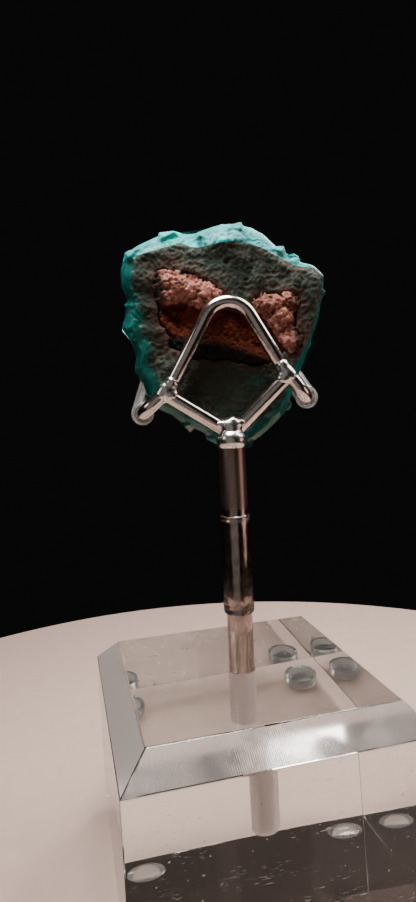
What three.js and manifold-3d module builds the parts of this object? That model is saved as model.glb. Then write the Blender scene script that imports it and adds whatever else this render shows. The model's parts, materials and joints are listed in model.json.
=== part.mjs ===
// A thumbnail dioptase specimen held in a soldered wire holder on a steel rod,
// which stands in the bore of a clear acrylic block on four small clear feet.
// Millimetres, +Z up, origin on the table under the middle of the block.
// -Y is the side where the back of the specimen shows; the display side faces +Y.
import * as THREE from "three";
import { mergeVertices } from "three/addons/utils/BufferGeometryUtils.js";
import Module from "manifold-3d";

const wasm = await Module();
wasm.setup();

// Acrylic block, its feet and its bore
const BLOCK_SIDE = 32;
const BLOCK_HEIGHT = 23;
const BLOCK_CHAMFER = 2.75;
const BORE_RADIUS = 1.6;
const BORE_DEPTH = 15;
const BORE_SIDES = 24;
const FOOT_HEIGHT = 1.6;
const FOOT_RADIUS = 2.4;
const FOOT_FLAT_RADIUS = 1.2;
const FOOT_DOME_SHARE = 0.75;
const FOOT_FROM_MIDDLE = 12.5;
const FOOT_SIDES = 10;
const GLUE_LINE = 0.05;
const BLOCK_TOP = FOOT_HEIGHT + BLOCK_HEIGHT;

// Rod and the clear film that is left on it
const ROD_RADIUS = 1.5;
const ROD_BACK = -0.5;
const ROD_TOP = 50.9;
const ROD_END_GAP = 0.3;
const ROD_END_CHAMFER = 0.25;
const ROD_SIDES = 20;
const FILM_RADIUS = 1.72;
const FILM_GAP = 0.05;
const FILM_RING = 0.16;
const FILM_BOTTOM = 31.4;
const FILM_TOP = 43;

// Holder wires, in a plane turned a little about the rod
const HOLDER_TURN = THREE.MathUtils.degToRad(-10);
const WIRE_RADIUS = 0.8;
const WIRE_QUARTERS = 5;
const ARM_STEPS = 25;
const SLEEVE_RADIUS = 1.3;
const SLEEVE_BORE = 0.95;
const SLEEVE_STEPS = 14;
const SLEEVE_START = 0.45;
const SLEEVE_OVERHANG = 0.4;
const TOUCH_GAP = 0.3;
const HOOK_DEPTH = 6.6;
const HOOK_BEND = 1.5;
const SHOULDER_BEND = 0.9;
const ARM_BENDS = [SHOULDER_BEND, HOOK_BEND, HOOK_BEND];
const ARCH_CORNER = new THREE.Vector3(0.26, 0, 70);
const ARCH_HALF_ANGLE = THREE.MathUtils.degToRad(29.7);
const ARCH_BEND_RADIUS = 2.85;
const ARCH_LEFT_LEG = 13.2;
const ARCH_RIGHT_LEG = 11.4;
const ARCH_STEPS = 24;

// Each arm wire runs from the rod over its shoulder, down, back under the stone and up in front of it
const LEFT_ARM = [[-1, 0, 53], [-7.35, 0, 57.2], [-9.9, 0, 55], [-10.3, HOOK_DEPTH, 55], [-8.3, HOOK_DEPTH, 60.6]];
const RIGHT_ARM = [[1, 0, 53.05], [6.95, 0, 58.7], [8.9, 0, 56], [10.5, HOOK_DEPTH, 56], [7.6, HOOK_DEPTH, 60.4]];

// Solder lumps: middle and radii
const ROD_SOLDER = { middle: [0, -0.6, 52.4], radii: [1.75, 1.5, 2.05] };
const LEFT_SOLDER = { middle: [-7.1, 0.05, 57.75], radii: [1.35, 1.3, 1.3] };
const RIGHT_SOLDER = { middle: [6.65, 0.05, 59], radii: [1.15, 1.2, 1.2] };

// Specimen outline seen from behind, as x and z, clockwise from its top left corner
const RIM = [
  [-11.5, 72.5], [-10.8, 73.9], [-9.2, 74.6], [-7.2, 75.5], [-5.6, 75.9], [-4.1, 75.5], [-2.6, 75.8],
  [-0.4, 76.5], [1.6, 76.7], [3.9, 76.1], [5.3, 75.3], [6.3, 74.2], [8.6, 72.6], [9.9, 71.8],
  [11.6, 71.3], [12.4, 69.9], [11.9, 68], [11.4, 65.4], [10.3, 62.7], [9.8, 61], [8.9, 59.3],
  [8.1, 57.1], [7.4, 55.8], [6.9, 54.4], [5.4, 52.9], [3.5, 51.4], [1.7, 50.5], [0, 50.2],
  [-1.3, 50.8], [-2.6, 52.3], [-4.4, 53.1], [-5.6, 53.7], [-6.8, 54.8], [-8.1, 55.4], [-9.2, 56.5],
  [-9.7, 58.4], [-10.7, 59.6], [-10.4, 61.5], [-10.9, 63.4], [-12, 65.2], [-11, 67.7], [-11.7, 69.9],
];
const MIDDLE = new THREE.Vector2(0.3, 63.5);
const RIM_STEPS = 46;
const BACK_Y = 1.15;
const RIM_Y = 3.3;
const FRONT_Y = 4.6;
const FRONT_SLOPE_Y = 4;
const SIDE_INSET = 0.8;
const TOP_INSET = 2.3;
const FRONT_INSET = 1.3;
const RELIEF = 0.26;
const BACK_SHARES = [0.22, 0.46, 0.68, 0.87];

// Dioptase crystals of the display side: short hexagonal prisms with three-sided rhombohedral ends
const END_SLOPE = Math.tan(THREE.MathUtils.degToRad(51));
const GOLDEN_ANGLE = Math.PI * (3 - Math.sqrt(5));
const CRUST_CRYSTALS = 24;
const CRUST_MARGIN = 3.2;
const RIM_CRYSTALS = 18;
const RIM_MARGIN = 1.7;
const RIM_LEAN = 0.95;
const CRYSTAL_ROOT_Y = 2.7;
const CRYSTAL_LONG = 5.4;
const CRYSTAL_SHORT = 4;
const PRONG_CLEAR = 2.3;

// Earthy matrix: broad beds that join and are level at the back, then rows of lumps on their ledges
const MATRIX_BACK_Y = 1.4;
const MATRIX_BEDS = [
  { middle: [-4.4, 2, 66.9], radii: [3.3, 1.5, 4.2] },
  { middle: [-1.4, 2.1, 63.7], radii: [5.8, 1.4, 2.9] },
  { middle: [3.2, 2.1, 62.7], radii: [4.3, 1.4, 2.7] },
  { middle: [5.6, 2, 65], radii: [2.8, 1.5, 3.3] },
];
const MATRIX_LEDGES = [
  { from: [-6.6, 1.75, 69.9], to: [-2, 1.75, 68.4], count: 4, size: 1.35 },
  { from: [-6.3, 1.85, 68], to: [-3.1, 1.85, 67.2], count: 2, size: 1.3 },
  { from: [4.6, 1.95, 66.9], to: [7.5, 1.75, 67], count: 3, size: 1.15 },
  { from: [6.9, 1.8, 65.5], to: [7.6, 1.8, 62.6], count: 2, size: 1.2 },
];

// Repeatable random numbers for the natural irregularity of crystals and lumps
function randomNumbers(seed) {
  let state = seed;
  return (low, high) => {
    state = (Math.imul(state, 1664525) + 1013904223) >>> 0;
    return low + ((high - low) * state) / 2 ** 32;
  };
}

function material(color, roughness, metalness, opacity = 1) {
  return new THREE.MeshStandardMaterial({
    color,
    roughness,
    metalness,
    opacity,
    transparent: opacity < 1,
  });
}

// A geometry as a manifold-3d solid
function solidOf(geometry) {
  const bare = geometry.clone();
  bare.deleteAttribute("normal");
  bare.deleteAttribute("uv");
  const merged = mergeVertices(bare, 1e-4);
  return new wasm.Manifold(
    new wasm.Mesh({
      numProp: 3,
      vertProperties: merged.getAttribute("position").array,
      triVerts: new Uint32Array(merged.index.array),
    }),
  );
}

// Several geometries joined in one manifold-3d solid
function joined(geometries) {
  return geometries.map(solidOf).reduce((all, one) => all.add(one));
}

// A manifold-3d solid as a geometry
function geometryOf(solid) {
  const mesh = solid.getMesh();
  const geometry = new THREE.BufferGeometry();
  geometry.setAttribute("position", new THREE.BufferAttribute(mesh.vertProperties, 3));
  geometry.setIndex(new THREE.BufferAttribute(mesh.triVerts, 1));
  const flat = geometry.toNonIndexed();
  flat.computeVertexNormals();
  return flat;
}

function namedMesh(name, geometry, finish) {
  const mesh = new THREE.Mesh(geometry, finish);
  mesh.name = name;
  return mesh;
}

// A closed geometry from a flat list of coordinates and its triangles' corners
function facetedGeometry(positions, faces) {
  const geometry = new THREE.BufferGeometry();
  geometry.setAttribute("position", new THREE.Float32BufferAttribute(positions, 3));
  return geometry.setIndex(faces);
}

// A round solid about the vertical axis, from [radius, height] pairs that start and end on it
function turned(profile, segments) {
  const points = profile.map(([radius, height]) => new THREE.Vector2(radius, height));
  return new THREE.LatheGeometry(points, segments).rotateX(Math.PI / 2);
}

function lump({ middle, radii }, grow = 0) {
  const ball = new THREE.IcosahedronGeometry(1, 1);
  ball.scale(radii[0] + grow, radii[1] + grow, radii[2] + grow);
  return ball.translate(...middle);
}

// A path through points whose inner corners are rounded off, each over its own length
function bentPath(points, bends) {
  const corners = points.map((point) => new THREE.Vector3(...point));
  const path = new THREE.CurvePath();
  let from = corners[0];
  for (let i = 1; i < corners.length - 1; i += 1) {
    const before = corners[i - 1].clone().sub(corners[i]).setLength(bends[i - 1]).add(corners[i]);
    const after = corners[i + 1].clone().sub(corners[i]).setLength(bends[i - 1]).add(corners[i]);
    path.add(new THREE.LineCurve3(from, before));
    path.add(new THREE.QuadraticBezierCurve3(before, corners[i], after));
    from = after;
  }
  path.add(new THREE.LineCurve3(from, corners[corners.length - 1]));
  return path;
}

// A round wire, or a sleeve when it has a bore, along a path
function along(path, radius, bore, steps) {
  const section = new THREE.Shape().absarc(0, 0, radius, 0, 2 * Math.PI);
  if (bore) {
    section.holes.push(new THREE.Path().absarc(0, 0, bore, 0, 2 * Math.PI, true));
  }
  return new THREE.ExtrudeGeometry(section, {
    steps,
    curveSegments: WIRE_QUARTERS,
    bevelEnabled: false,
    extrudePath: path,
  });
}

// Acrylic block: a four-sided turned solid with its upper edges bevelled and a blind bore for the rod
function acrylicBlock() {
  const half = BLOCK_SIDE / Math.SQRT2;
  const top = half - BLOCK_CHAMFER * Math.SQRT2;
  const block = turned(
    [
      [0, FOOT_HEIGHT],
      [half, FOOT_HEIGHT],
      [half, BLOCK_TOP - BLOCK_CHAMFER],
      [top, BLOCK_TOP],
      [0, BLOCK_TOP],
    ],
    4,
  ).rotateZ(Math.PI / 4);
  const bore = new THREE.CylinderGeometry(BORE_RADIUS, BORE_RADIUS, 2 * BORE_DEPTH, BORE_SIDES);
  bore.rotateX(Math.PI / 2).translate(0, ROD_BACK, BLOCK_TOP);
  return geometryOf(solidOf(block).subtract(solidOf(bore)));
}

// Foot: a clear stick-on dome with a small flat under it
function foot() {
  const top = FOOT_HEIGHT - GLUE_LINE;
  const profile = [[0, 0]];
  const steps = 3;
  for (let i = 0; i <= steps; i += 1) {
    const angle = ((i / steps) * Math.PI) / 2;
    const radius = FOOT_FLAT_RADIUS + (FOOT_RADIUS - FOOT_FLAT_RADIUS) * Math.sin(angle);
    profile.push([radius, top * FOOT_DOME_SHARE * (1 - Math.cos(angle))]);
  }
  profile.push([FOOT_RADIUS, top], [0, top]);
  return turned(profile, FOOT_SIDES);
}

function rod() {
  const bottom = BLOCK_TOP - BORE_DEPTH + ROD_END_GAP;
  return turned(
    [
      [0, bottom],
      [ROD_RADIUS - ROD_END_CHAMFER, bottom],
      [ROD_RADIUS, bottom + ROD_END_CHAMFER],
      [ROD_RADIUS, ROD_TOP],
      [0, ROD_TOP],
    ],
    ROD_SIDES,
  );
}

// Film: a thin clear tube with a thicker ring at each end
function rodFilm() {
  const inner = ROD_RADIUS + FILM_GAP;
  const ring = FILM_RADIUS + FILM_RING;
  return turned(
    [
      [inner, FILM_BOTTOM],
      [ring, FILM_BOTTOM + 0.2],
      [ring, FILM_BOTTOM + 1],
      [FILM_RADIUS, FILM_BOTTOM + 1.6],
      [FILM_RADIUS, FILM_TOP - 0.8],
      [ring, FILM_TOP - 0.5],
      [inner, FILM_TOP],
      [inner, FILM_BOTTOM],
    ],
    ROD_SIDES,
  );
}

// The round bend at the top of the arch
class BendCurve extends THREE.Curve {
  getPoint(t, target = new THREE.Vector3()) {
    const sweep = Math.PI / 2 - ARCH_HALF_ANGLE;
    const angle = THREE.MathUtils.lerp(-sweep, sweep, t);
    target.set(Math.sin(angle), 0, Math.cos(angle)).multiplyScalar(ARCH_BEND_RADIUS).add(ARCH_CORNER);
    target.z -= ARCH_BEND_RADIUS / Math.sin(ARCH_HALF_ANGLE);
    return target;
  }
}

function archPath() {
  const bend = ARCH_BEND_RADIUS / Math.tan(ARCH_HALF_ANGLE);
  const down = (side, length) =>
    new THREE.Vector3(side * Math.sin(ARCH_HALF_ANGLE), 0, -Math.cos(ARCH_HALF_ANGLE))
      .multiplyScalar(length)
      .add(ARCH_CORNER);
  const path = new THREE.CurvePath();
  path.add(new THREE.LineCurve3(down(-1, ARCH_LEFT_LEG), down(-1, bend)));
  path.add(new BendCurve());
  path.add(new THREE.LineCurve3(down(1, bend), down(1, ARCH_RIGHT_LEG)));
  return path;
}

// Path of a prong's sleeve: from part way down the near leg round the hook to past the wire's tip
function sleevePath(arm, overhang) {
  const points = arm.slice(1).map((point) => new THREE.Vector3(...point));
  points[0].lerp(points[1], SLEEVE_START);
  const tip = points[3].clone().sub(points[2]);
  points[3].copy(points[2]).add(tip.setLength(tip.length() + overhang));
  return bentPath(points.map((point) => point.toArray()), [HOOK_BEND, HOOK_BEND]);
}

// A solder lump that closes round the wires and the rod end, a touch gap clear of them
function solder(shape, rooms) {
  return geometryOf(rooms.reduce((left, room) => left.subtract(room), solidOf(lump(shape))));
}

// One dioptase crystal along +Y: the rim of its end steps up and down over the prism's edges
function crystal(radius, length) {
  const positions = [0, 0, 0, 0, length, 0];
  for (let i = 0; i < 6; i += 1) {
    const angle = (i * Math.PI) / 3;
    const drop = radius * END_SLOPE * (i % 2 ? 0.5 : 1);
    const x = radius * Math.cos(angle);
    const z = radius * Math.sin(angle);
    positions.push(x, 0, z, x, Math.max(length - drop, 0.1), z);
  }
  const faces = [];
  for (let i = 0; i < 6; i += 1) {
    const low = 2 + 2 * i;
    const next = 2 + 2 * ((i + 1) % 6);
    faces.push(0, low, next, low, low + 1, next + 1, low, next + 1, next, 1, next + 1, low + 1);
  }
  return facetedGeometry(positions, faces);
}

// Distance from the middle of the specimen to its rim at an angle
function rimReach(rim, angle) {
  const nearest = rim.reduce((best, point) => {
    const turn = Math.atan2(point.y - MIDDLE.y, point.x - MIDDLE.x) - angle;
    const off = Math.abs(Math.atan2(Math.sin(turn), Math.cos(turn)));
    return off < best.off ? { off, point } : best;
  }, { off: Infinity });
  return nearest.point.distanceTo(MIDDLE);
}

// Low waves of the back, so that it is as uneven as broken rock
function relief(x, z) {
  return RELIEF * (1 + Math.sin(1.1 * x + 0.4 * z) * Math.cos(1.7 * z - 0.6 * x + Math.sin(0.9 * x)));
}

// Body of the specimen: rings from the middle of its back over its rim to the middle of its front
function specimenBody(rim) {
  const rings = [
    ...BACK_SHARES.map((share) => ({ share, y: BACK_Y })),
    { inset: SIDE_INSET, upperInset: TOP_INSET, y: BACK_Y },
    { inset: 0.15, upperInset: 0.65, y: (BACK_Y + RIM_Y) / 2 },
    { inset: 0, upperInset: 0, y: RIM_Y },
    { inset: FRONT_INSET, upperInset: FRONT_INSET, y: FRONT_SLOPE_Y },
    { share: 0.5, y: FRONT_Y },
  ];
  const positions = [];
  rings.forEach((ring) => {
    rim.forEach((point) => {
      const out = point.clone().sub(MIDDLE);
      const upward = Math.max(0, out.y / out.length());
      const reach = ring.share
        ? ring.share * (out.length() - SIDE_INSET)
        : out.length() - THREE.MathUtils.lerp(ring.inset, ring.upperInset, upward);
      out.setLength(reach).add(MIDDLE);
      positions.push(out.x, ring.y + (ring.y === BACK_Y ? relief(out.x, out.y) : 0), out.y);
    });
  });
  const count = rim.length;
  const backMiddle = rings.length * count;
  positions.push(MIDDLE.x, BACK_Y + RELIEF, MIDDLE.y, MIDDLE.x, FRONT_Y, MIDDLE.y);
  const faces = [];
  for (let i = 0; i < count; i += 1) {
    const j = (i + 1) % count;
    const last = (rings.length - 1) * count;
    faces.push(backMiddle, i, j, backMiddle + 1, last + j, last + i);
    for (let r = 0; r < rings.length - 1; r += 1) {
      const a = r * count;
      const b = a + count;
      faces.push(a + i, b + i, b + j, a + i, b + j, a + j);
    }
  }
  return facetedGeometry(positions, faces);
}

// Where the crystals stand: a spiral over the front, then a row that leans out all round the rim
function crystalPlaces() {
  const random = randomNumbers(7);
  const crust = Array.from({ length: CRUST_CRYSTALS }, (_, i) => {
    const share = Math.sqrt((i + 0.5) / CRUST_CRYSTALS);
    return {
      angle: i * GOLDEN_ANGLE,
      share,
      margin: CRUST_MARGIN,
      lean: 0.1 + 0.5 * share ** 2 + random(-0.15, 0.15),
      radius: random(1.4, 2.4),
      length: THREE.MathUtils.lerp(CRYSTAL_LONG, CRYSTAL_SHORT, share ** 2) + random(-0.7, 0.5),
    };
  });
  const edge = Array.from({ length: RIM_CRYSTALS }, (_, i) => ({
    angle: ((i + random(-0.25, 0.25)) / RIM_CRYSTALS) * 2 * Math.PI,
    share: 1,
    margin: RIM_MARGIN,
    lean: RIM_LEAN + random(-0.15, 0.1),
    radius: random(1.1, 1.7),
    length: CRYSTAL_SHORT,
  }));
  return [...crust, ...edge];
}

// The crystals of the crust, none of them past the rim or up against a prong
function crustCrystals(rim, prongs) {
  const random = randomNumbers(5);
  const crystals = [];
  crystalPlaces().forEach(({ angle, share, margin, lean, radius, length }) => {
    const reach = rimReach(rim, angle);
    const out = share * (reach - margin);
    const room = (reach - out) / Math.sin(lean);
    const kept = Math.min(length, room);
    const root = new THREE.Vector3(
      MIDDLE.x + out * Math.cos(angle),
      CRYSTAL_ROOT_Y,
      MIDDLE.y + out * Math.sin(angle),
    );
    const leaning = angle + random(-0.3, 0.3);
    const axis = new THREE.Vector3(
      Math.cos(leaning) * Math.sin(lean),
      Math.cos(lean),
      Math.sin(leaning) * Math.sin(lean),
    );
    const tip = root.clone().addScaledVector(axis, kept);
    const clear = prongs.every((prong) =>
      prong.closestPointToPoint(tip, true, new THREE.Vector3()).distanceTo(tip) > PRONG_CLEAR);
    if (clear) {
      const turn = new THREE.Quaternion().setFromUnitVectors(new THREE.Vector3(0, 1, 0), axis);
      crystals.push(
        crystal(radius, kept)
          .rotateY(random(0, Math.PI / 3))
          .applyQuaternion(turn)
          .translate(root.x, root.y, root.z),
      );
    }
  });
  return crystals;
}

// The matrix, or with a grow value the room that the dioptase leaves for it
function matrixSolid(grow) {
  const random = randomNumbers(21);
  const half = 20;
  const behind = new THREE.BoxGeometry(2 * half, 2 * half, 2 * half).translate(0, MATRIX_BACK_Y + half, MIDDLE.y);
  const beds = joined(MATRIX_BEDS.map((bed) => lump(bed, grow)));
  const level = grow ? beds : beds.intersect(solidOf(behind));
  const ledges = MATRIX_LEDGES.flatMap(({ from, to, count, size }) =>
    Array.from({ length: count }, (_, i) => {
      const middle = from.map((value, k) => THREE.MathUtils.lerp(value, to[k], i / (count - 1)));
      middle[2] += random(-0.3, 0.3);
      const radii = [size * random(0.85, 1.2), size * random(0.8, 1), size * random(0.8, 1.1)];
      return lump({ middle, radii }, grow);
    }),
  );
  return level.add(joined(ledges));
}

const rimCurve = new THREE.CatmullRomCurve3(
  RIM.map(([x, z]) => new THREE.Vector3(x, 0, z)).reverse(),
  true,
  "centripetal",
);
const rimPoints = rimCurve
  .getSpacedPoints(RIM_STEPS)
  .slice(0, RIM_STEPS)
  .map((point) => new THREE.Vector2(point.x, point.z));

// Rooms that solids leave round the wires, the sleeves and the top of the rod
const arms = [LEFT_ARM, RIGHT_ARM];
const armRooms = arms.map((arm) =>
  solidOf(along(bentPath(arm, ARM_BENDS), WIRE_RADIUS + TOUCH_GAP, 0, 2 * ARM_STEPS)));
const sleeveRooms = arms.map((arm) =>
  solidOf(along(sleevePath(arm, 1), SLEEVE_RADIUS + TOUCH_GAP, 0, 2 * SLEEVE_STEPS)));
const archRoom = solidOf(along(archPath(), WIRE_RADIUS + TOUCH_GAP, 0, ARCH_STEPS));
const rodRoom = solidOf(
  turned(
    [
      [0, FILM_TOP],
      [ROD_RADIUS + TOUCH_GAP, FILM_TOP],
      [ROD_RADIUS + TOUCH_GAP, ROD_TOP + TOUCH_GAP],
      [0, ROD_TOP + TOUCH_GAP],
    ],
    ROD_SIDES,
  ),
);

function dioptase() {
  const prongs = arms.map(
    (arm) => new THREE.Line3(new THREE.Vector3(...arm[3]), new THREE.Vector3(...arm[4])),
  );
  return [matrixSolid(TOUCH_GAP), ...sleeveRooms, rodRoom].reduce(
    (left, room) => left.subtract(room),
    joined([specimenBody(rimPoints), ...crustCrystals(rimPoints, prongs)]),
  );
}

const clear = material(0xe8eef0, 0.05, 0, 0.35);
const frosted = material(0xdfe4e4, 0.4, 0, 0.6);
const metal = material(0xc9c6c2, 0.12, 1);
const stone = material(0x0d5a52, 0.25, 0);
const earth = material(0x9a6a5c, 0.95, 0);

const base = new THREE.Group();
base.add(namedMesh("acrylic_base", acrylicBlock(), clear));
[["front_left", -1, -1], ["front_right", 1, -1], ["back_left", -1, 1], ["back_right", 1, 1]].forEach(
  ([place, x, y]) => {
    const mesh = namedMesh(`foot_${place}`, foot(), frosted);
    mesh.position.set(x * FOOT_FROM_MIDDLE, y * FOOT_FROM_MIDDLE, 0);
    base.add(mesh);
  },
);

const stem = new THREE.Group();
stem.position.y = ROD_BACK;
stem.add(namedMesh("rod", rod(), metal));
stem.add(namedMesh("rod_clear_film", rodFilm(), frosted));

const holder = new THREE.Group();
holder.position.y = ROD_BACK;
holder.rotation.z = HOLDER_TURN;
holder.add(namedMesh("arch_wire", along(archPath(), WIRE_RADIUS, 0, ARCH_STEPS), metal));
["left", "right"].forEach((side, i) => {
  const wire = along(bentPath(arms[i], ARM_BENDS), WIRE_RADIUS, 0, ARM_STEPS);
  const sleeve = along(sleevePath(arms[i], SLEEVE_OVERHANG), SLEEVE_RADIUS, SLEEVE_BORE, SLEEVE_STEPS);
  holder.add(namedMesh(`${side}_arm_wire`, wire, metal));
  holder.add(namedMesh(`${side}_prong_sleeve`, sleeve, frosted));
});
holder.add(namedMesh("rod_solder", solder(ROD_SOLDER, [...armRooms, rodRoom]), metal));
holder.add(namedMesh("left_solder", solder(LEFT_SOLDER, [armRooms[0], archRoom]), metal));
holder.add(namedMesh("right_solder", solder(RIGHT_SOLDER, [armRooms[1], archRoom]), metal));
holder.add(namedMesh("dioptase", geometryOf(dioptase()), stone));
holder.add(namedMesh("matrix", geometryOf(matrixSolid(0)), earth));

const group = new THREE.Group();
group.add(base, stem, holder);

export default group;
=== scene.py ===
# %% [markdown]
# # A dioptase specimen in its wire holder
# A thumbnail mineral stands with its rough back towards us. A soldered wire holder grips it, a
# polished rod carries the holder, and the rod stands in a clear block on four clear feet.
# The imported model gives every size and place, so it is loaded first and its box is kept.
# The visual pieces are then built around it, in metres and in the same frame.

# %% Load the fixed frame
import json
import math
import random

import bpy
from mathutils import Matrix, Quaternion, Vector
from mathutils.bvhtree import BVHTree

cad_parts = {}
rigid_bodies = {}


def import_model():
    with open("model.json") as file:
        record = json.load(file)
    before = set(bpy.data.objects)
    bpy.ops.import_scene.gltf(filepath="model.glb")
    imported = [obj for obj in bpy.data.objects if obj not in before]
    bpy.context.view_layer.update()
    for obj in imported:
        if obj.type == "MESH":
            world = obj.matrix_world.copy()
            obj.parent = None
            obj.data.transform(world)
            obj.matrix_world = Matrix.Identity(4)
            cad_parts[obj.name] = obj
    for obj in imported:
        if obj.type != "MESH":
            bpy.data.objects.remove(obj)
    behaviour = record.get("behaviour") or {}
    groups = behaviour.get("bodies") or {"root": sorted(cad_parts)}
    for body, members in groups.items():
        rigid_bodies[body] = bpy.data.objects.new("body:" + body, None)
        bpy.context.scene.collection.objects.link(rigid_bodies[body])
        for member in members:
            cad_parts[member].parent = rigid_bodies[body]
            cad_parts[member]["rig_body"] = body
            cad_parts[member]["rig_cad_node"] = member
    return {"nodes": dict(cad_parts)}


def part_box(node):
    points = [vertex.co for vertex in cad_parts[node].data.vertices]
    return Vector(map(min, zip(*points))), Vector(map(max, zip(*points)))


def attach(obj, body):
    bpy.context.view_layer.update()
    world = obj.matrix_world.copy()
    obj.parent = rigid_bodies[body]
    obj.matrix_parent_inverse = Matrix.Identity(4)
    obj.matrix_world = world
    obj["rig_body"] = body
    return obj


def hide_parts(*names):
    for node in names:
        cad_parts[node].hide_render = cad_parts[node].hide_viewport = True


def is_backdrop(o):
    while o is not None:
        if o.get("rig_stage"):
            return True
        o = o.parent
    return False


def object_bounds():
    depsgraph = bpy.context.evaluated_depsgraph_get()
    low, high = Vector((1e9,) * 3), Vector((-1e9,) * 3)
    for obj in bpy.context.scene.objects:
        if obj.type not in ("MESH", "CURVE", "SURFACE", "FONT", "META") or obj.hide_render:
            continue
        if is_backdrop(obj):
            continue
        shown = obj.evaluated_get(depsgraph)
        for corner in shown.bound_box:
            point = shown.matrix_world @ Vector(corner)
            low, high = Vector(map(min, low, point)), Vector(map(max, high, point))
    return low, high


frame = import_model()
nodes = frame["nodes"]
cad_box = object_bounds()
MM = 0.001
print("loaded", len(nodes), "nodes, height in mm", round((cad_box[1].z - cad_box[0].z) / MM, 2))

# %% [markdown]
# Blender's operators act on everything that is selected, and loading leaves the nodes selected.
# So each step starts by taking one piece alone. The helpers below do that, bake a piece's place
# into its mesh, make a cylinder, apply a modifier, pick faces by a test, and push a surface in
# and out by a texture whose size and depth are given in millimetres.

# %% Helpers for modelling
def deselect_all():
    if bpy.context.mode != "OBJECT":
        bpy.ops.object.mode_set(mode="OBJECT")
    bpy.ops.object.select_all(action="DESELECT")


def take(piece):
    deselect_all()
    piece.select_set(True)
    bpy.context.view_layer.objects.active = piece


def named(name):
    piece = bpy.context.object
    piece.name = name
    piece.data.name = name
    return piece


def bake_place(piece):
    take(piece)
    bpy.ops.object.transform_apply(location=True, rotation=True, scale=True)


def cylinder(name, radius, depth, middle, sides=96):
    deselect_all()
    bpy.ops.mesh.primitive_cylinder_add(vertices=sides, radius=radius, depth=depth, location=middle)
    piece = named(name)
    bake_place(piece)
    return piece


def modify(piece, kind, **settings):
    take(piece)
    modifier = piece.modifiers.new(kind.title(), kind)
    for key, value in settings.items():
        setattr(modifier, key, value)
    bpy.ops.object.modifier_apply(modifier=modifier.name)


def bevel_edges(piece, width, segments, angle=30):
    """Bevels the edges where faces meet at more than an angle in degrees."""
    modify(piece, "BEVEL", width=width, segments=segments, limit_method="ANGLE",
           angle_limit=math.radians(angle))


def edit(piece, mode, select="SELECT"):
    take(piece)
    bpy.ops.object.mode_set(mode="EDIT")
    bpy.ops.mesh.select_mode(type=mode)
    bpy.ops.mesh.select_all(action=select)


def edit_faces(piece, test):
    edit(piece, "FACE", "DESELECT")
    bpy.ops.object.mode_set(mode="OBJECT")
    for face in piece.data.polygons:
        face.select = test(face)
    bpy.ops.object.mode_set(mode="EDIT")


def join(pieces):
    take(pieces[0])
    for piece in pieces:
        piece.select_set(True)
    bpy.ops.object.join()


def smooth(piece, angle=40):
    take(piece)
    bpy.ops.object.shade_smooth_by_angle(angle=math.radians(angle))


def relief_texture(name, kind, size, **settings):
    texture = bpy.data.textures.new(name, kind)
    texture.noise_scale = size * MM
    for key, value in settings.items():
        setattr(texture, key, value)
    return texture


def push(piece, texture, strength, group="", middle=0.5):
    modify(piece, "DISPLACE", texture=texture, strength=strength * MM, mid_level=middle,
           texture_coords="LOCAL", vertex_group=group)


def clamped(value):
    return min(1.0, max(0.0, value))


def triangles(piece):
    piece.data.calc_loop_triangles()
    return len(piece.data.loop_triangles)


# %% [markdown]
# The holder's wires lie in a plane that is turned a little about the rod. Everything on the
# holder is modelled square, in millimetres from the rod's axis, and then hung in its place.

# %% The holder's place
rod_low, rod_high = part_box("rod")
ROD_Y = (rod_low.y + rod_high.y) / 2
HOLDER_TURN = math.radians(-10)
HOLDER = Matrix.Translation((0, ROD_Y, 0)) @ Matrix.Rotation(HOLDER_TURN, 4, "Z")


def hang(piece):
    piece.matrix_world = HOLDER @ piece.matrix_world
    bake_place(piece)


# %% [markdown]
# The photograph was taken from close by, a little to the left and almost level with the
# specimen. The lens is worked out from the block's edges, so the perspective is right too.
# A camera looks along its own -Z, and a small turn about that axis gives the photo's tilt.

# %% Camera
IMAGE_HEIGHT = 902
LENS_PIXELS = 594.8
SENSOR = 36
CAMERA_PLACE = Vector((-18.84, -65.85, 55.24)) * MM
HEADING = math.radians(13.77)
DIP = math.radians(-4.07)
TILT = math.radians(-2.8)
NEAREST, FARTHEST = 5 * MM, 5

look = Vector((math.sin(HEADING) * math.cos(DIP), math.cos(HEADING) * math.cos(DIP), math.sin(DIP)))
aim = look.to_track_quat("-Z", "Y") @ Quaternion((0, 0, 1), TILT)
bpy.ops.object.camera_add(location=CAMERA_PLACE, rotation=aim.to_euler())
camera = bpy.context.object
camera.name = "camera"
camera.data.sensor_width = SENSOR
camera.data.lens = LENS_PIXELS / IMAGE_HEIGHT * SENSOR
camera.data.clip_start = NEAREST
camera.data.clip_end = FARTHEST
bpy.context.scene.camera = camera
print("lens in mm", round(camera.data.lens, 2))

# %% [markdown]
# Every finish is a small network of nodes. To keep its maths readable, a Value wraps a socket,
# and an expression such as `0.3 + 0.2 * noise` adds the Math nodes for it. Colours go through
# Mix nodes, because a Math node would turn them grey. One method makes every other node, and
# short ones on top of it give the textures and the kinds of surface that come up again.

# %% Shader maths
def colour(red, green, blue):
    return (red, green, blue, 1.0)


class Value:
    def __init__(self, finish, socket):
        self.finish = finish
        self.socket = socket

    def math(self, operation, *values, **settings):
        settings["operation"] = operation
        return self.finish.node("ShaderNodeMath", settings, dict(enumerate(values)))

    def __add__(self, other):
        return self.math("ADD", self, other)

    __radd__ = __add__

    def __sub__(self, other):
        return self.math("SUBTRACT", self, other)

    def __rsub__(self, other):
        return self.math("SUBTRACT", other, self)

    def __mul__(self, other):
        return self.math("MULTIPLY", self, other)

    __rmul__ = __mul__

    def limited(self):
        return self.math("ADD", self, 0.0, use_clamp=True)

    def between(self, low, high):
        """0 below low, 1 above high, and a soft step from one to the other."""
        inputs = {"Value": self, "From Min": low, "From Max": high}
        return self.finish.node("ShaderNodeMapRange", {"interpolation_type": "SMOOTHSTEP"}, inputs)


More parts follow.
